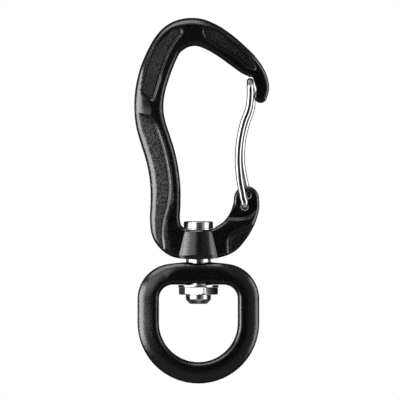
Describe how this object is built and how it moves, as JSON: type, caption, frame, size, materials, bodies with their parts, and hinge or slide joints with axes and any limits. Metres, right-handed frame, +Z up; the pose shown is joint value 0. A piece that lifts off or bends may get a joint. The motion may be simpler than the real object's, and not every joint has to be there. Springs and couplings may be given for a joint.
{
  "type": "swivel snap hook with wire gate",
  "caption": "Black forged snap hook with a bent wire gate, joined by a headed pin, sleeve, washers and nut to a D-shaped ring that turns freely.",
  "frame": {"origin": "on the swivel axis, level with the inside crown of the hook's bow, midway between the two flat faces", "axes": "+Z up along the swivel axis from the ring to the bow, +X towards the gate, +Y from the front face to the back face"},
  "size_m": [0.0385, 0.0132, 0.1046],
  "materials": {
    "black_coat": "forged aluminium with a fine-grained satin black anodised coat",
    "spring_wire": "drawn and polished stainless spring wire",
    "plated_steel": "turned steel, bright plated"
  },
  "bodies": {
    "hook": {"hook_body": "black_coat", "swivel_pin": "plated_steel", "head_washer": "plated_steel", "bearing_sleeve": "plated_steel", "ring_washer": "plated_steel", "hex_nut": "plated_steel"},
    "gate": {"gate_wire": "spring_wire"},
    "ring": {"swivel_ring": "black_coat"}
  },
  "joints": [
    {"name": "gate_hinge", "type": "hinge", "parent": "hook", "child": "gate", "pos_m": [0.0132, 0, -0.0459], "axis": [0, -1, 0], "range_deg": [0, 30], "stiffness_Nm_per_rad": 0.06, "springref_deg": -57.3},
    {"name": "ring_swivel", "type": "hinge", "parent": "hook", "child": "ring", "pos_m": [0, 0, -0.0649], "axis": [0, 0, 1], "continuous": true}
  ]
}
